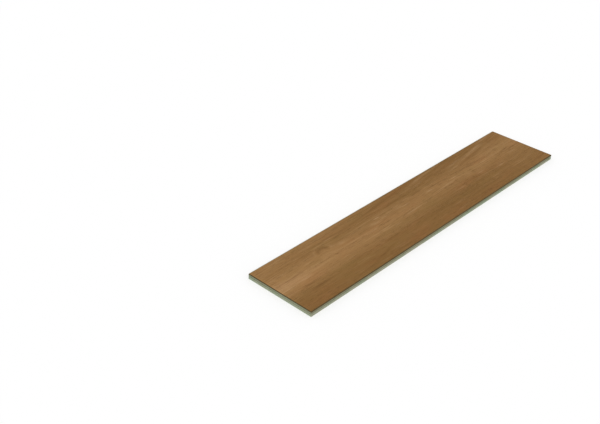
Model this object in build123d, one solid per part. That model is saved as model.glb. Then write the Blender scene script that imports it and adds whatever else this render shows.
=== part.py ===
"""Herringbone laminate plank: a fibreboard core with a decor layer, milled to lock on all four sides.

Millimetres. +X runs along the plank, +Y across it and +Z up. The origin is on the underside, below
the middle of the face. The grooves are on the -X end and the -Y side, the tongues on the +X end and
the +Y side, and all four have the same profile, because in a herringbone an end locks into a side.
"""
from build123d import *
import os

# The face, measured where two planks meet
face_length = 665.0
face_width = 133.0
thickness = 10.0
decor_thickness = 0.3
bevel = 0.8
underside_chamfer = 0.2

# The tongue, measured from the plane where two planks meet
tongue_reach = 4.0
tongue_thickness = 2.2
tongue_below_face = 3.7

# The catch: a bead on the groove's lower lip that snaps into a notch under the tongue
catch_height = 0.4
catch_from_joint = 0.4
catch_ramp = 0.9
catch_crest = 0.5
catch_flank = 0.2

# Clearances of the locked joint
fit_clearance = 0.05
nose_clearance = 0.5
lower_lip_setback = 0.1

tongue_top = thickness - tongue_below_face
tongue_bottom = tongue_top - tongue_thickness


def catch_points(joint_plane, foot_height, rise, margin):
    """The catch from its foot near the joint plane to its foot far inside, ramp first, steep flank last."""
    foot = joint_plane + catch_from_joint - margin
    ramp_top = foot + catch_ramp
    crest_end = ramp_top + catch_crest + 2 * margin
    return [
        (foot, foot_height),
        (ramp_top, foot_height + rise),
        (crest_end, foot_height + rise),
        (crest_end + catch_flank, foot_height),
    ]


def milled_section(span):
    """The plank's section over one pair of sides: the groove at the left, the tongue at the right."""
    groove_plane = -span / 2
    tongue_plane = span / 2
    lip_face = groove_plane + lower_lip_setback

    slot_top = tongue_top + fit_clearance
    slot_bottom = tongue_bottom - fit_clearance
    slot_round = (slot_top - slot_bottom) / 2
    slot_end = groove_plane + tongue_reach + nose_clearance
    slot_round_start = slot_end - slot_round

    nose_round = tongue_thickness / 2
    nose_tip = tongue_plane + tongue_reach
    nose_round_start = nose_tip - nose_round

    bead = catch_points(groove_plane, slot_bottom, catch_height, 0)
    notch = catch_points(tongue_plane, tongue_bottom, catch_height, fit_clearance)

    with BuildSketch() as section:
        with BuildLine():
            Polyline(
                (tongue_plane - underside_chamfer, 0),
                (lip_face + underside_chamfer, 0),
                (lip_face, underside_chamfer),
                (lip_face, slot_bottom),
                *bead,
                (slot_round_start, slot_bottom),
            )
            ThreePointArc(
                (slot_round_start, slot_bottom),
                (slot_end, (slot_top + slot_bottom) / 2),
                (slot_round_start, slot_top),
            )
            Polyline(
                (slot_round_start, slot_top),
                (groove_plane, slot_top),
                (groove_plane, thickness - bevel),
                (groove_plane + bevel, thickness),
                (tongue_plane - bevel, thickness),
                (tongue_plane, thickness - bevel),
                (tongue_plane, tongue_top),
                (nose_round_start, tongue_top),
            )
            ThreePointArc(
                (nose_round_start, tongue_top),
                (nose_tip, (tongue_top + tongue_bottom) / 2),
                (nose_round_start, tongue_bottom),
            )
            Polyline(
                (nose_round_start, tongue_bottom),
                *reversed(notch),
                (tongue_plane, tongue_bottom),
                (tongue_plane, underside_chamfer),
                (tongue_plane - underside_chamfer, 0),
            )
        make_face()
    return section.sketch


# The long sides are milled over the whole length, then the ends across the whole width. Where an end
# groove crosses a tongue, the groove's bead would leave a loose chip of that tongue, which drops off.
long_milling = extrude(Plane.YZ * milled_section(face_width), amount=face_length, both=True)
end_milling = extrude(Plane.XZ * milled_section(face_length), amount=face_width, both=True)
plank = (long_milling & end_milling).solids().sort_by(SortBy.VOLUME).last

# The decor layer is everything above the glue line, so the bevel runs through it into the core
glue_line = Plane.XY.offset(thickness - decor_thickness)
hdf_core = split(plank, bisect_by=glue_line, keep=Keep.BOTTOM)
decor_layer = split(plank, bisect_by=glue_line, keep=Keep.TOP)

os.makedirs("parts", exist_ok=True)
export_step(hdf_core, "parts/hdf_core.step")
export_step(decor_layer, "parts/decor_layer.step")
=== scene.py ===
"""Looks of the herringbone laminate plank: oak face, fibreboard core, floor, light and camera.

Metres, in the plank's own frame: +X along it, +Y across it, +Z up, the origin on its underside. The near
end is at -X and the near long side at -Y. Left and right are as seen from the near end, so the near long
side is on the right. The way along is counted from the near end, as a share of the face's length or in
plank widths. The way across is counted from the near long side, as a share of the face's width.
"""
import math

import bpy
import numpy as np
from mathutils import Matrix, Vector


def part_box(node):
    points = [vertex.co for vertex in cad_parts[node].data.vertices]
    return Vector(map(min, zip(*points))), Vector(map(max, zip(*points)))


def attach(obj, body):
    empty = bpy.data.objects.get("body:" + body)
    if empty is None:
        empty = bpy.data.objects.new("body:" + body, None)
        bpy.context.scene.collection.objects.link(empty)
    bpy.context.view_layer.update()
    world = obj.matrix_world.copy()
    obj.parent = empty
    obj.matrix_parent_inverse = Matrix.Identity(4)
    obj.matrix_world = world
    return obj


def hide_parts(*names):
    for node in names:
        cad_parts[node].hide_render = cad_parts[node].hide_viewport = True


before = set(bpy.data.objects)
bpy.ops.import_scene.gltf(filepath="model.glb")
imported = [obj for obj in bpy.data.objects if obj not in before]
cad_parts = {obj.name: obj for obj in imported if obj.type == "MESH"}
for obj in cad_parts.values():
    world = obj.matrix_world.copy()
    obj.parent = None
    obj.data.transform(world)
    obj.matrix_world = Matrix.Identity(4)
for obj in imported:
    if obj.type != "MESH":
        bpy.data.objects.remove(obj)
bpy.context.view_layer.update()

MM = 0.001


def srgb(red, green, blue):
    """A colour written in 0 to 255 screen values, as the linear colour that shaders take."""
    screen = np.array([red, green, blue]) / 255
    linear = np.where(screen <= 0.04045, screen / 12.92, ((screen + 0.055) / 1.055) ** 2.4)
    return (*(float(value) for value in linear), 1.0)


# The decor layer's box gives the face. Its 45 degree bevel rises over the whole layer.
layer_low, layer_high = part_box("decor_layer")
layer_rise = layer_high.z - layer_low.z
foot_low = np.array(layer_low[:2])
foot_size = np.array(layer_high[:2]) - foot_low
face_low = foot_low + layer_rise
face_length, face_width = foot_size - 2 * layer_rise

# The face's mesh: long narrow cells, because the grain is long and narrow
CELLS_ALONG = 222
CELLS_ACROSS = 400

# The face on its texture sheet: a rim for the bevel, and a strip below for the underside, which never shows
SHEET_RIM = 0.008
SHEET_STRIP = 0.02

# The lattice that noise is made on, how far it reaches past each long side in face widths, and how far short
# of its end it is read, so that there is always a next point
LATTICE_ALONG = 1024
LATTICE_ACROSS = 1024
LATTICE_MARGIN = 0.2
LATTICE_END = 1.001

# Noises along the grain: the seed, and the reach along and across the grain
PORES = (11, 9 * MM, 0.30 * MM)
PORE_ROWS = (12, 60 * MM, 2.2 * MM)
SWELL = (13, 45 * MM, 3.0 * MM)
BANDS = (21, 110 * MM, 3.2 * MM)
LINES = (22, 26 * MM, 0.55 * MM)
FLECKS = (23, 8 * MM, 0.7 * MM)
SLANTED_FLECKS = (24, 14 * MM, 1.1 * MM)
WOBBLE = (25, 12 * MM, 3.0 * MM)

# The pressed grain: depths, how much the rows gather the pores, and where on the noise a pore starts and how
# much further it is fully pressed
PORE_DEPTH = 0.08 * MM
SWELL_DEPTH = 0.02 * MM
SWELL_GAIN = 0.25
ROW_GAIN = 0.5
PRESS_START = 0.7
PRESS_RANGE = 1.2

# The grain lines' two waves, with heights in face widths and lengths in plank widths, and their arch
SLOW_WAVE_HEIGHT = 0.012
SLOW_WAVE_LENGTH = 3.1
SLOW_WAVE_START = 0.2
SHORT_WAVE_HEIGHT = 0.006
SHORT_WAVE_LENGTH = 1.3
ARCH_HEIGHT = 0.04

# The eye that the grain arches over: the middle of its foot along, in plank widths, and across, its reaches,
# the strength of its light rim and of its dark arch, and how much it calms the grain round it
EYE_ALONG = 0.96
EYE_ACROSS = 0.68
EYE_REACH_ALONG = 0.10
EYE_REACH_ACROSS = 0.085
EYE_RIM = 0.8
EYE_ARCH = -2.2
EYE_CALM = 0.6

# Broad light and dark: the plain wood's tone, and how much each part is lighter or, below 0, darker
PLAIN_TONE = 0.35
BAND_TONE = 0.27
BAND_NEAR_TONE = 0.37
NEAR_LEFT_TONE = 0.24
LEFT_EDGE_TONE = 0.16
FAR_LEFT_TONE = -0.03
RIGHT_MIDDLE_TONE = -0.06
FAR_END_TONE = 0.08
FAR_RIGHT_TONE = 0.05
RIGHT_EDGE_TONE = -0.06

# Wisps: each noise's strength, how far a fleck stands out before it shows, the grain's strength away from the
# light band, and the slant and the effect of the flecks in the far left corner
BAND_STRENGTH = 0.20
LINE_STRENGTH = 0.28
FLECK_STRENGTH = 1.30
FLECK_LIMIT = 1.2
QUIET_STRENGTH = 0.40
CORNER_SLANT = 0.13
CORNER_ALONG = 4
CORNER_STRENGTH = 0.45
CORNER_CALM = 0.5

# Single marks that stand out of the wood's figure: the way along in plank widths and the way across to the
# mark's middle, half its length in plank widths, half its width, its slant, and its strength, light above 0
MARKS = (
    (0.10, 0.480, 0.16, 0.045, 0.00, 0.8),
    (0.40, 0.466, 0.13, 0.018, 0.00, 2.2),
    (0.90, 0.640, 0.08, 0.030, 0.00, 0.9),
    (1.09, 0.690, 0.06, 0.025, 0.00, 1.0),
    (1.25, 0.650, 0.07, 0.028, 0.00, 1.8),
    (1.88, 0.640, 0.10, 0.020, 0.00, 2.1),
    (1.60, 0.467, 0.20, 0.011, -0.06, 1.1),
    (1.88, 0.445, 0.14, 0.013, -0.08, 3.6),
    (2.43, 0.483, 0.22, 0.014, 0.06, 2.1),
    (3.35, 0.560, 0.22, 0.014, 0.09, 1.6),
    (3.25, 0.945, 0.26, 0.020, 0.14, 2.0),
    (3.85, 0.855, 0.17, 0.012, 0.12, 1.5),
    (4.36, 0.885, 0.25, 0.020, 0.14, 2.4),
    (4.68, 0.950, 0.16, 0.018, 0.12, 1.6),
    (0.37, 0.930, 0.19, 0.030, 0.00, 0.7),
    (4.60, 0.210, 0.24, 0.013, 0.00, 1.9),
    (3.04, 0.180, 0.13, 0.012, 0.00, 1.1),
    (0.32, 0.582, 0.42, 0.014, 0.06, -3.2),
    (1.80, 0.600, 0.42, 0.011, 0.00, -1.5),
    (1.15, 0.842, 0.52, 0.013, 0.00, -2.3),
    (2.15, 0.888, 0.50, 0.014, 0.10, -2.3),
    (0.74, 0.785, 0.10, 0.030, -0.50, -0.7),
    (2.44, 0.805, 0.14, 0.020, 0.03, -1.7),
    (2.83, 0.745, 0.10, 0.020, 0.00, -2.4),
    (4.26, 0.805, 0.42, 0.015, 0.13, -1.9),
    (4.66, 0.570, 0.18, 0.016, 0.12, -2.8),
    (0.37, 0.345, 0.12, 0.014, 0.00, -3.2),
    (0.48, 0.255, 0.24, 0.013, 0.00, -2.9),
    (1.85, 0.275, 0.17, 0.018, 0.00, -0.9),
    (2.90, 0.235, 0.50, 0.012, 0.00, -1.3),
    (1.48, 0.138, 0.19, 0.014, 0.15, -2.8),
)
MARK_WOBBLE = 0.005
MARK_PLAIN = 0.85
MARK_BREAKS = 0.25

# Oak print: browns at their places on the broad tone, and the colours that are mixed in with their shares
BROWNS = (
    (0.0, srgb(106, 73, 33)),
    (0.36, srgb(128, 93, 49)),
    (0.84, srgb(156, 118, 73)),
    (1.0, srgb(167, 129, 86)),
)
RED_BROWN = srgb(156, 96, 56)
OLIVE_BROWN = srgb(120, 102, 48)
HUE_SHARE = 0.14
LIGHT_GRAIN = srgb(200, 164, 124)
DARK_GRAIN = srgb(80, 46, 12)
GRAIN_SHARE = 0.12
STREAK_GAIN = 1.2
HAIR_GAIN = 4.5
RED_DASH = srgb(112, 64, 30)
RED_DASH_SHARE = 0.35
PRINTED_PORE = srgb(66, 42, 20)
PRINTED_PORE_SHARE = 0.40
RING_GAIN = 0.4
PRESSED_GAIN = 0.10

# The seal over the print: its roughness, what pores and lines add to it, its shine, and its fine dents
SEAL_ROUGHNESS = 0.68
PORE_ROUGHNESS = 0.2
LINE_ROUGHNESS = 0.08
SEAL_SHINE = 0.15
LINE_RISE = 0.4
DENT_STRENGTH = 0.6
DENT_DEPTH = 0.04 * MM

# Noises of the print, in waves in a metre along and across the grain
HUE_NOISE = {"detail": 2, "roughness": 0.5, "stretch": (12, 45, 1), "shift": (11, 4, 0)}
STREAK_NOISE = {"detail": 4, "roughness": 0.6, "stretch": (16, 420, 1), "shift": (3, 7, 0)}
LINE_NOISE = {"detail": 3, "roughness": 0.6, "stretch": (30, 1100, 1), "shift": (5, 2, 0)}
HAIR_NOISE = {"detail": 3, "roughness": 0.65, "stretch": (24, 3600, 1), "shift": (9, 1, 0)}
RED_NOISE = {"detail": 2, "roughness": 0.5, "stretch": (60, 800, 1), "shift": (2, 6, 0)}
RING_NOISE = {"detail": 2, "roughness": 0.5, "stretch": (3, 260, 1), "shift": (1, 9, 0)}
DASH_NOISE = {"detail": 1, "roughness": 0.5, "stretch": (62, 3000, 1), "shift": (8, 3, 0)}

# Fibreboard: colours at the underside and top, a greener tint of painted light on the ends, and colours mixed
# in by share
BOARD_LOW = srgb(156, 154, 134)
# Painted light: the greener tint that the ends get for how light falls on them
BOARD_HIGH = srgb(153, 154, 126)
END_PAINTED_LIGHT_TINT = srgb(136, 158, 132)
END_PAINTED_LIGHT_TINT_SHARE = 0.5
BOARD_CLOUD = srgb(143, 147, 122)
BOARD_GREEN = srgb(132, 153, 127)
BOARD_GREEN_SHARE = 0.5
LIGHT_FIBRE = srgb(172, 176, 152)
LIGHT_FIBRE_SHARE = 0.45
DARK_FIBRE = srgb(98, 103, 84)
DARK_FIBRE_SHARE = 0.4
GRIT = srgb(84, 84, 66)
GRIT_SHARE = 0.35
BOARD_ROUGHNESS = 0.88
BOARD_SHINE = 0.2
FIBRE_STRENGTH = 0.5
FIBRE_DEPTH = 0.08 * MM

# The paper on the underside: its browns, its roughness, and the height up to which it reaches
PAPERS = ((0.3, srgb(150, 128, 97)), (0.7, srgb(176, 154, 120)))
PAPER_ROUGHNESS = 0.7
PAPER_TOP = 0.2 * MM
PAPER_FULL = 0.1 * MM

# Noises of the board and of the paper, in waves in a metre
CLOUD_NOISE = {"scale": 45, "detail": 3}
GREEN_NOISE = {"scale": 26, "detail": 2, "shift": (6, 5, 4)}
FIBRE_NOISE = {"detail": 4, "roughness": 0.65, "stretch": (700, 700, 2600)}
GRIT_NOISE = {"scale": 4200, "detail": 2, "roughness": 0.6, "shift": (1, 2, 3)}
PAPER_NOISE = {"detail": 4, "roughness": 0.6, "stretch": (260, 420, 50), "shift": (4, 1, 0)}

# The bevel's paint and the mist of it below: how far below the face each ends and where it is full, and the
# mist's share on the long sides and on the ends
PAINT_DARK = srgb(54, 43, 20)
PAINT_LIGHT = srgb(80, 64, 33)
PAINT_MIST = srgb(100, 80, 30)
PAINT_ROUGHNESS = 0.55
PAINT_NOISE = {"scale": 700, "detail": 3}
PAINT_RUN = 0.5 * MM
PAINT_END = 2.0 * MM
PAINT_FULL = 0.7 * MM
MIST_END = 4.0 * MM
MIST_FULL = 0.9 * MM
SIDE_MIST = 0.75
END_MIST = 0.36

# The photograph's camera
CAMERA_PLACE = Vector((-1.1433, -0.8010, 0.8932))
CAMERA_TARGET = Vector((-0.1494, 0.1316, 0.0100))
CAMERA_ROLL = math.radians(1.07)
CAMERA_LENS = 57.18
CAMERA_NEAREST = 0.01

# Light on a level surface: the shares of the world and of the key lamp add up to one
WORLD_SHARE = 0.5
KEY_SHARE = 0.5
KEY_FROM = Vector((-1.35, -1.15, 1.9))
KEY_SPREAD = math.radians(35)
FLOOR_SIZE = 12.0
FLOOR_ALBEDO = 0.8


# Fields on the face, as whole arrays


def smoothed_noise(seed, along, across):
    """White noise smoothed by a Gaussian with the given reach along and across the grain.

    The noise lies on a lattice that is wider than the face by a margin. It is multiplied in the frequency
    domain by exp(-2 (pi f reach)^2) for each direction, then set to a mean of 0 and a spread of 1.
    """
    white = np.random.default_rng(seed).standard_normal((LATTICE_ALONG, LATTICE_ACROSS))
    step_along = face_length / LATTICE_ALONG
    step_across = face_width * (1 + 2 * LATTICE_MARGIN) / LATTICE_ACROSS
    wave_along = np.fft.fftfreq(LATTICE_ALONG, step_along)[:, None]
    wave_across = np.fft.fftfreq(LATTICE_ACROSS, step_across)[None, :]
    gauss = np.exp(-2 * np.pi**2 * ((wave_along * along) ** 2 + (wave_across * across) ** 2))
    field = np.fft.ifft2(np.fft.fft2(white) * gauss).real
    return (field - field.mean()) / field.std()


def read_noise(layer, along, across):
    """A layer of noise at each place, weighted linearly between the lattice's four neighbours."""
    field = smoothed_noise(*layer)
    column = np.clip(along, 0, 1) * (LATTICE_ALONG - LATTICE_END)
    row = np.clip((across + LATTICE_MARGIN) / (1 + 2 * LATTICE_MARGIN), 0, 1)
    row = row * (LATTICE_ACROSS - LATTICE_END)
    i = column.astype(int)
    j = row.astype(int)
    a = column - i
    b = row - j
    near = field[i, j] * (1 - b) + field[i, j + 1] * b
    far = field[i + 1, j] * (1 - b) + field[i + 1, j + 1] * b
    return near * (1 - a) + far * a


def hill(value, centre, reach):
    """A smooth bump: exp(-((value - centre) / reach)^2)."""
    return np.exp(-(((value - centre) / reach) ** 2))


def fade(value, reach):
    """1 at 0, and less and less further on: exp(-value / reach)."""
    return np.exp(-value / reach)


def step(value, low, high):
    """A smooth step: 0 below low, 1 above high, and 3 t^2 - 2 t^3 between them."""
    share = np.clip((value - low) / (high - low), 0, 1)
    return share * share * (3 - 2 * share)


def beyond(value, limit):
    """What of a value lies beyond a limit, on both sides of 0."""
    return np.sign(value) * np.clip(np.abs(value) - limit, 0, None)


def grain_way(widths, across):
    """The grain's own coordinate across the plank, whose level lines are the grain lines.

    It is the way across, less two slow waves along the plank, less one small hill that bends the lines
    into an arch over the eye.
    """
    slow = SLOW_WAVE_HEIGHT * np.sin(2 * np.pi * (widths / SLOW_WAVE_LENGTH + SLOW_WAVE_START))
    short = SHORT_WAVE_HEIGHT * np.sin(2 * np.pi * (widths / SHORT_WAVE_LENGTH + across))
    arch = ARCH_HEIGHT * hill(widths, EYE_ALONG, 0.16) * hill(across, EYE_ACROSS, 0.10)
    return across - (slow + short) - arch


def broad_tone(widths, across):
    """Light and dark over the whole plank, from 0, dark, to 1, light.

    Each part is its tone, times where it lies along the plank, times where it lies across it. A light band
    runs along the middle, and fades and drifts to the left on its way to the far end. The left is lighter
    towards the near end, and a little darker from there on. The far end is lighter, more so right of the
    middle, and before it the wood right of the middle is darker. So is the right edge.
    """
    centre = 0.52 + 0.006 * widths**2
    reach = np.where(across < centre, 0.18 + 0.04 * fade(widths, 0.9), 0.17)
    right_of_middle = hill(across, 0.36, 0.14)
    band = (BAND_TONE + BAND_NEAR_TONE * fade(widths, 1.7)) * hill(across, centre, reach)
    near_left = NEAR_LEFT_TONE * fade(widths, 0.9) * step(across, 0.45, 0.80)
    left_edge = LEFT_EDGE_TONE * hill(widths, 0.9, 1.2) * step(across, 0.68, 0.92)
    far_left = FAR_LEFT_TONE * step(widths, 1.4, 2.2) * step(across, 0.74, 0.95)
    right_middle = RIGHT_MIDDLE_TONE * hill(widths, 3.2, 0.9) * right_of_middle
    far_end = FAR_END_TONE * hill(widths, 5.0, 0.9)
    far_right = FAR_RIGHT_TONE * hill(widths, 4.6, 0.7) * right_of_middle
    right_edge = RIGHT_EDGE_TONE * fade(across, 0.06)
    left = near_left + left_edge + far_left
    return PLAIN_TONE + band + left + right_middle + far_end + far_right + right_edge


def single_marks(widths, across):
    """The marks, added up. Each is a hill, long along its own slant and narrow across it."""
    total = np.zeros_like(widths)
    for along, level, length, width, slant, strength in MARKS:
        off = across - level - slant * (widths - along)
        total += strength * hill(widths, along, length) * hill(off, 0, width)
    return total


def wisps(widths, across, along, way):
    """Light and dark wisps, with the light ones above 0.

    Three noises along the grain, of long bands, thin lines and scattered flecks, are strong on the light
    band and weak on the right side. In the far left corner, slanted flecks cross the grain at a small
    angle. A dark arch with a light rim stands over the eye, and the grain is calmer there. The single marks
    wobble a little and break up along the lines.
    """
    bands = read_noise(BANDS, along, way)
    lines = read_noise(LINES, along, way)
    flecks = beyond(read_noise(FLECKS, along, way), FLECK_LIMIT)
    strength = QUIET_STRENGTH + (1 - QUIET_STRENGTH) * hill(across, 0.65, 0.3)
    calm = hill(widths, EYE_ALONG, 0.3) * hill(across, EYE_ACROSS, 0.12)
    grain = BAND_STRENGTH * bands + LINE_STRENGTH * lines + FLECK_STRENGTH * flecks
    grain = strength * (1 - EYE_CALM * calm) * grain

    slanted = read_noise(SLANTED_FLECKS, along, across - CORNER_SLANT * (widths - CORNER_ALONG))
    corner = step(widths, 2.6, 3.4) * step(across, 0.66, 0.88)
    eye = np.hypot((widths - EYE_ALONG) / EYE_REACH_ALONG, (across - EYE_ACROSS) / EYE_REACH_ACROSS)
    arch = EYE_RIM * hill(eye, 1.45, 0.18) + EYE_ARCH * hill(eye, 0.85, 0.30)
    arch = arch * step(across, 0.66, 0.71)
    wobble = read_noise(WOBBLE, along, way)
    marks = single_marks(widths, across + MARK_WOBBLE * wobble) * (MARK_PLAIN + MARK_BREAKS * lines)
    return grain * (1 - CORNER_CALM * corner) + CORNER_STRENGTH * corner * slanted + arch + marks


def face_fields():
    """Height, tone, wisps, pressed pores and grain way at each point of the face's grid."""
    along, across = np.meshgrid(
        np.linspace(0, 1, CELLS_ALONG + 1), np.linspace(0, 1, CELLS_ACROSS + 1), indexing="ij"
    )
    widths = along * face_length / face_width
    way = grain_way(widths, across)
    pores = read_noise(PORES, along, way)
    rows = read_noise(PORE_ROWS, along, way)
    swell = read_noise(SWELL, along, way)
    pressed = np.clip((pores + ROW_GAIN * rows - PRESS_START) / PRESS_RANGE, 0, 1)
    height = -PORE_DEPTH * pressed - SWELL_DEPTH * np.clip(0.5 + SWELL_GAIN * swell, 0, 1)
    return {
        "height": height,
        "tone": broad_tone(widths, way),
        "wisp": wisps(widths, across, along, way),
        "pressed": pressed,
        "along": along,
        "way": way,
    }


# The pieces


def with_rim(values):
    """An array with its edge values once more all round, for the ring of points on the bevel's foot."""
    return np.pad(values, 1, mode="edge")


def texture_sheet(share_along, share_across):
    """Each point's place on the square sheet that the finished face's texture is drawn on.

    The face fills the sheet from the strip up, and the ring on the foot of its bevel is the rim round it.
    """
    along = SHEET_RIM + (1 - 2 * SHEET_RIM) * share_along
    across = SHEET_STRIP + SHEET_RIM + (1 - SHEET_STRIP - 2 * SHEET_RIM) * share_across
    along[[0, -1]] = [0, 1]
    across[[0, -1]] = [SHEET_STRIP, 1]
    return np.stack(np.meshgrid(along, across, indexing="ij"), axis=-1).reshape(-1, 2)


def add_map(mesh, name, places):
    """Adds a texture map from its places, one for each corner of each face."""
    mesh.uv_layers.new(name=name).data.foreach_set("uv", places.astype(np.float32).ravel())


def decor_face(material):
    """The printed face with its pressed grain, and its bevel down to the glue line.

    A grid of two parameters, the shares along and across the face. Its points lie on the face's plane and
    are lowered by the pressed grain. One more ring of points lies on the foot of the bevel, a layer's rise
    further out and lower down, and one flat face closes the mesh below.
    """
    grid = {name: with_rim(values) for name, values in face_fields().items()}
    share_along = with_rim(np.linspace(0, 1, CELLS_ALONG + 1))
    share_across = with_rim(np.linspace(0, 1, CELLS_ACROSS + 1))
    x = face_low[0] + face_length * share_along
    y = face_low[1] + face_width * share_across
    x[[0, -1]] += [-layer_rise, layer_rise]
    y[[0, -1]] += [-layer_rise, layer_rise]
    z = layer_high.z + grid["height"]
    z[[0, -1], :] = layer_low.z
    z[:, [0, -1]] = layer_low.z
    points = np.stack([*np.meshgrid(x, y, indexing="ij"), z], axis=-1).reshape(-1, 3)

    number = np.arange(z.size).reshape(z.shape)
    quads = np.stack([number[:-1, :-1], number[1:, :-1], number[1:, 1:], number[:-1, 1:]], axis=-1)
    # A four-sided face folds from its first point, which makes the bevel's mitre at two corners. At the
    # other two it has to start one point later.
    quads[0, -1] = np.roll(quads[0, -1], -1)
    quads[-1, 0] = np.roll(quads[-1, 0], -1)
    inside = np.zeros(quads.shape[:2], bool)
    inside[1:-1, 1:-1] = True
    ring = np.concatenate([number[:-1, 0], number[-1, :-1], number[:0:-1, -1], number[0, :0:-1]])

    mesh = bpy.data.meshes.new("decor_face")
    mesh.from_pydata(points.tolist(), [], [*quads.reshape(-1, 4).tolist(), ring[::-1].tolist()])
    mesh.polygons.foreach_set("use_smooth", np.append(inside.ravel(), False))
    for name in ("tone", "wisp", "pressed"):
        attribute = mesh.attributes.new(name, "FLOAT", "POINT")
        attribute.data.foreach_set("value", grid[name].astype(np.float32).ravel())
    corner = np.zeros(len(mesh.loops), np.int32)
    mesh.loops.foreach_get("vertex_index", corner)
    way = np.stack([grid["along"].ravel() * face_length, grid["way"].ravel() * face_width], axis=-1)
    add_map(mesh, "grain_way", way[corner])
    sheet = texture_sheet(share_along, share_across)[corner]
    sheet[-len(ring) :, 1] *= SHEET_STRIP / 2
    add_map(mesh, "OFBake", sheet)
    mesh.materials.append(material)
    piece = bpy.data.objects.new("decor_face", mesh)
    bpy.context.scene.collection.objects.link(piece)
    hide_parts("decor_layer")
    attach(piece, "root")


# Shader nodes


def add(tree, kind, inputs=None, **settings):
    """Adds a node with its settings. An input is a value, or the socket that feeds it."""
    node = tree.nodes.new(kind)
    for name, value in settings.items():
        setattr(node, name, value)
    for socket, value in (inputs or {}).items():
        if isinstance(value, bpy.types.NodeSocket):
            tree.links.new(value, node.inputs[socket])
        else:
            node.inputs[socket].default_value = value
    return node


def calc(tree, operation, first, second=0.0):
    """One sum on values, and the socket with its result."""
    return add(tree, "ShaderNodeMath", {0: first, 1: second}, operation=operation).outputs[0]


def times(tree, value, factor):
    """A value times a factor."""
    return calc(tree, "MULTIPLY", value, factor)


def centred(tree, value):
    """A noise from 0 to 1, moved to lie round 0."""
    return calc(tree, "SUBTRACT", value, 0.5)


def between(tree, value, low, high):
    """0 at low, 1 at high and a smooth step between them. High may be below low."""
    node = add(
        tree,
        "ShaderNodeMapRange",
        {"Value": value, "From Min": low, "From Max": high},
        interpolation_type="SMOOTHSTEP",
    )
    return node.outputs["Result"]


def noise(tree, vector, scale=1.0, detail=2.0, roughness=0.5, stretch=(1, 1, 1), shift=(0, 0, 0)):
    """Noise of the given waves in a metre, longer in the directions where stretch is small."""
    place = add(tree, "ShaderNodeMapping", {"Vector": vector, "Location": shift, "Scale": stretch})
    node = add(
        tree,
        "ShaderNodeTexNoise",
        {"Vector": place.outputs[0], "Scale": scale, "Detail": detail, "Roughness": roughness},
    )
    return node.outputs[0]


def blend(tree, share, first, second):
    """Two colours mixed by a share, which is kept from 0 to 1."""
    return add(tree, "ShaderNodeMix", {0: share, 6: first, 7: second}, data_type="RGBA").outputs[2]


def blend_values(tree, share, first, second):
    """Two values mixed by a share, which is kept from 0 to 1."""
    return add(tree, "ShaderNodeMix", {0: share, 2: first, 3: second}, data_type="FLOAT").outputs[0]


def ramp(tree, value, stops):
    """Colours at places from 0 to 1, with straight changes between them."""
    node = add(tree, "ShaderNodeValToRGB", {"Fac": value})
    band = node.color_ramp.elements
    while len(band) < len(stops):
        band.new(0.5)
    for element, (place, colour) in zip(band, stops):
        element.position = place
        element.color = colour
    return node.outputs["Color"]


def face_field(tree, name):
    """One of the face's fields."""
    return add(tree, "ShaderNodeAttribute", attribute_name=name).outputs["Fac"]


def on_the_plank(tree):
    """A point's place and height, how far its face looks up, and a mask of the faces that look along."""
    coordinates = add(tree, "ShaderNodeTexCoord")
    spot = coordinates.outputs["Object"]
    height = add(tree, "ShaderNodeSeparateXYZ", {0: spot}).outputs["Z"]
    facing = add(tree, "ShaderNodeSeparateXYZ", {0: coordinates.outputs["Normal"]})
    ends = between(tree, calc(tree, "ABSOLUTE", facing.outputs["X"]), 0.5, 0.9)
    return spot, height, facing.outputs["Z"], ends


def bump(tree, shader, height, strength, distance):
    """Gives a shader fine relief."""
    node = add(tree, "ShaderNodeBump", {"Strength": strength, "Distance": distance, "Height": height})
    tree.links.new(node.outputs[0], shader.inputs["Normal"])


def new_material(name):
    """A node material with its tree and its Principled shader."""
    material = bpy.data.materials.new(name)
    material.use_nodes = True
    tree = material.node_tree
    return material, tree, tree.nodes["Principled BSDF"]


def bevel_paint_group():
    """Paint on the bevel, and a mist of it on the edge below.

    Both lie on what doesn't look straight up, near the top. Their lower end runs a little up and down, and
    the mist is thicker on the long sides than on the ends. The group puts out colour and roughness.
    """
    group = bpy.data.node_groups.new("bevel_paint", "ShaderNodeTree")
    for direction in ("INPUT", "OUTPUT"):
        group.interface.new_socket("Colour", in_out=direction, socket_type="NodeSocketColor")
        group.interface.new_socket("Roughness", in_out=direction, socket_type="NodeSocketFloat")
    bare = add(group, "NodeGroupInput").outputs
    spot, height, up, ends = on_the_plank(group)
    patchy = noise(group, spot, **PAINT_NOISE)
    run = calc(group, "ADD", height, times(group, patchy, PAINT_RUN))
    not_face = calc(group, "SUBTRACT", 1.0, between(group, up, 0.82, 0.92))
    near_top = between(group, run, layer_high.z - PAINT_END, layer_high.z - PAINT_FULL)
    cover = times(group, not_face, near_top)
    below = between(group, run, layer_high.z - MIST_END, layer_high.z - MIST_FULL)
    mist = times(group, not_face, below)
    thick = calc(group, "SUBTRACT", SIDE_MIST, times(group, ends, SIDE_MIST - END_MIST))
    dusted = blend(group, times(group, mist, thick), bare["Colour"], PAINT_MIST)
    paint = blend(group, patchy, PAINT_DARK, PAINT_LIGHT)
    add(
        group,
        "NodeGroupOutput",
        {
            "Colour": blend(group, cover, dusted, paint),
            "Roughness": blend_values(group, cover, bare["Roughness"], PAINT_ROUGHNESS),
        },
    )
    return group


def painted(tree, group, shader, colour, roughness):
    """Feeds a shader through the bevel's paint."""
    node = add(tree, "ShaderNodeGroup", {"Colour": colour, "Roughness": roughness}, node_tree=group)
    tree.links.new(node.outputs["Colour"], shader.inputs["Base Color"])
    tree.links.new(node.outputs["Roughness"], shader.inputs["Roughness"])


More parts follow.
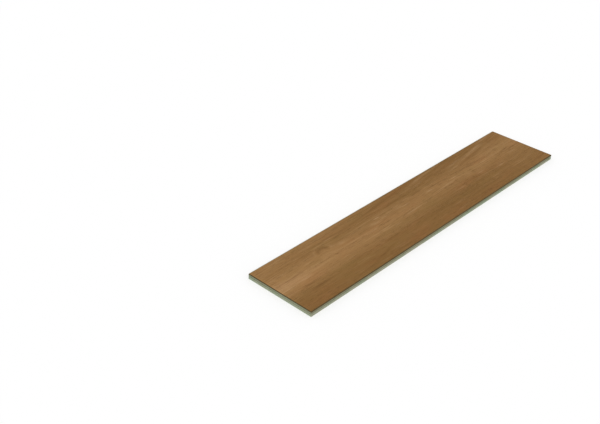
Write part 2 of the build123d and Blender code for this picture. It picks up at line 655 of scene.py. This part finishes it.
def oak_print(paint):
    """The printed oak under its seal.

    The broad tone picks a brown from dark to light, and a slow noise turns it redder here and greener
    there. Wisps, streaks, lines and hairs along the grain make it lighter and darker. Short red dashes lie
    in the lighter wood. Dark pores lie in rows and where the grain is pressed, and the seal is rougher on
    them. The pores are dented and the lines stand up, both very little.
    """
    material, tree, shader = new_material("oak_print")
    way = add(tree, "ShaderNodeUVMap", uv_map="grain_way").outputs["UV"]
    tone = face_field(tree, "tone")

    brown = ramp(tree, tone, BROWNS)
    hue = noise(tree, way, **HUE_NOISE)
    brown = blend(tree, times(tree, between(tree, hue, 0.50, 0.75), HUE_SHARE), brown, RED_BROWN)
    brown = blend(tree, times(tree, between(tree, hue, 0.50, 0.25), HUE_SHARE), brown, OLIVE_BROWN)

    streaks = noise(tree, way, **STREAK_NOISE)
    lines = noise(tree, way, **LINE_NOISE)
    hairs = noise(tree, way, **HAIR_NOISE)
    grain = calc(tree, "ADD", centred(tree, streaks), centred(tree, lines))
    grain = calc(tree, "ADD", face_field(tree, "wisp"), times(tree, grain, STREAK_GAIN))
    grain = calc(tree, "ADD", grain, times(tree, centred(tree, hairs), HAIR_GAIN))
    brown = blend(tree, times(tree, grain, GRAIN_SHARE), brown, LIGHT_GRAIN)
    brown = blend(tree, times(tree, grain, -GRAIN_SHARE), brown, DARK_GRAIN)

    red = noise(tree, way, **RED_NOISE)
    red = times(tree, between(tree, red, 0.62, 0.74), between(tree, tone, 0.35, 0.75))
    brown = blend(tree, times(tree, red, RED_DASH_SHARE), brown, RED_DASH)
    rings = noise(tree, way, **RING_NOISE)
    dashes = noise(tree, way, **DASH_NOISE)
    crowd = times(tree, centred(tree, rings), RING_GAIN)
    crowd = calc(tree, "ADD", crowd, times(tree, face_field(tree, "pressed"), PRESSED_GAIN))
    pores = between(tree, calc(tree, "ADD", dashes, crowd), 0.58, 0.68)
    brown = blend(tree, times(tree, pores, PRINTED_PORE_SHARE), brown, PRINTED_PORE)

    rough = calc(tree, "ADD", SEAL_ROUGHNESS, times(tree, pores, PORE_ROUGHNESS))
    rough = calc(tree, "ADD", rough, times(tree, lines, LINE_ROUGHNESS))
    painted(tree, paint, shader, brown, rough)
    dents = calc(tree, "SUBTRACT", times(tree, lines, LINE_RISE), pores)
    bump(tree, shader, dents, DENT_STRENGTH, DENT_DEPTH)
    shader.inputs["Specular IOR Level"].default_value = SEAL_SHINE
    return material


def fibreboard(paint):
    """Milled grey-green fibreboard, with paper on its underside.

    The board is greyer towards its underside, and its ends get a greener tint that is painted light. Clouds
    and green patches vary it.
    Flecks of fibre lie level in it, so they are longer along it than through it, and dark grit is strewn
    among them.
    """
    material, tree, shader = new_material("fibreboard")
    spot, height, up, ends = on_the_plank(tree)

    board = blend(tree, between(tree, height, 0.0, layer_high.z), BOARD_LOW, BOARD_HIGH)
    # Painted light: the ends, the faces that look along the plank, are tinted greener for how light falls on
    # them
    board = blend(tree, times(tree, ends, END_PAINTED_LIGHT_TINT_SHARE), board, END_PAINTED_LIGHT_TINT)
    clouds = noise(tree, spot, **CLOUD_NOISE)
    green = noise(tree, spot, **GREEN_NOISE)
    fibres = noise(tree, spot, **FIBRE_NOISE)
    grit = noise(tree, spot, **GRIT_NOISE)
    board = blend(tree, between(tree, clouds, 0.35, 0.7), board, BOARD_CLOUD)
    board = blend(tree, times(tree, between(tree, green, 0.45, 0.65), BOARD_GREEN_SHARE), board, BOARD_GREEN)
    board = blend(tree, times(tree, between(tree, fibres, 0.5, 0.72), LIGHT_FIBRE_SHARE), board, LIGHT_FIBRE)
    board = blend(tree, times(tree, between(tree, fibres, 0.48, 0.28), DARK_FIBRE_SHARE), board, DARK_FIBRE)
    board = blend(tree, times(tree, between(tree, grit, 0.62, 0.75), GRIT_SHARE), board, GRIT)

    kraft = ramp(tree, noise(tree, spot, **PAPER_NOISE), PAPERS)
    looks_down = between(tree, up, -0.8, -0.95)
    backed = times(tree, looks_down, between(tree, height, PAPER_TOP, PAPER_FULL))
    board = blend(tree, backed, board, kraft)
    rough = blend_values(tree, backed, BOARD_ROUGHNESS, PAPER_ROUGHNESS)
    painted(tree, paint, shader, board, rough)
    bump(tree, shader, fibres, FIBRE_STRENGTH, FIBRE_DEPTH)
    shader.inputs["Specular IOR Level"].default_value = BOARD_SHINE
    return material


# Floor, light and camera


def white_to_the_eye(tree):
    """1 for rays that show the background: from the camera, from gloss and through glass."""
    ray = add(tree, "ShaderNodeLightPath")
    shown = calc(tree, "MAXIMUM", ray.outputs["Is Camera Ray"], ray.outputs["Is Glossy Ray"])
    return calc(tree, "MAXIMUM", shown, ray.outputs["Is Transmission Ray"])


def pale_floor():
    """A wide level sheet under the plank. What it lacks of white is added for the eye, so shadows stay."""
    half = FLOOR_SIZE / 2
    corners = [(-half, -half, 0), (half, -half, 0), (half, half, 0), (-half, half, 0)]
    mesh = bpy.data.meshes.new("floor")
    mesh.from_pydata(corners, [], [(0, 1, 2, 3)])
    material, tree, shader = new_material("pale_floor")
    shader.inputs["Base Color"].default_value = (FLOOR_ALBEDO, FLOOR_ALBEDO, FLOOR_ALBEDO, 1)
    shader.inputs["Roughness"].default_value = 1.0
    shader.inputs["Specular IOR Level"].default_value = 0.0
    shader.inputs["Emission Color"].default_value = (1, 1, 1, 1)
    glow = times(tree, white_to_the_eye(tree), 1 - FLOOR_ALBEDO)
    tree.links.new(glow, shader.inputs["Emission Strength"])
    mesh.materials.append(material)
    floor = bpy.data.objects.new("floor", mesh)
    bpy.context.scene.collection.objects.link(floor)


def studio_light():
    """An even white world and one far, broad and soft lamp from the front left.

    A far lamp of strength S lights a level surface as S cos(slant) / pi of white.
    """
    world = bpy.data.worlds.new("studio")
    bpy.context.scene.world = world
    world.use_nodes = True
    tree = world.node_tree
    sky = tree.nodes["Background"]
    sky.inputs["Color"].default_value = (1, 1, 1, 1)
    level = blend_values(tree, white_to_the_eye(tree), WORLD_SHARE, 1.0)
    tree.links.new(level, sky.inputs["Strength"])

    lamp = bpy.data.lights.new("key", "SUN")
    lamp.angle = KEY_SPREAD
    lamp.energy = KEY_SHARE * math.pi / KEY_FROM.normalized().z
    key = bpy.data.objects.new("key", lamp)
    key.location = KEY_FROM
    key.rotation_euler = KEY_FROM.to_track_quat("Z", "Y").to_euler()
    bpy.context.scene.collection.objects.link(key)


def photo_camera():
    """The camera where the photograph was taken from, turned about its own line of sight by the roll."""
    data = bpy.data.cameras.new("camera")
    data.lens = CAMERA_LENS
    data.clip_start = CAMERA_NEAREST
    camera = bpy.data.objects.new("camera", data)
    aim = (CAMERA_TARGET - CAMERA_PLACE).to_track_quat("-Z", "Y").to_matrix().to_4x4()
    camera.matrix_world = Matrix.Translation(CAMERA_PLACE) @ aim @ Matrix.Rotation(CAMERA_ROLL, 4, "Z")
    bpy.context.scene.collection.objects.link(camera)
    bpy.context.scene.camera = camera


bpy.context.scene.view_settings.view_transform = "Standard"
bevel_paint = bevel_paint_group()
decor_face(oak_print(bevel_paint))
core_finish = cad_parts["hdf_core"].data.materials
core_finish.clear()
core_finish.append(fibreboard(bevel_paint))
pale_floor()
studio_light()
photo_camera()
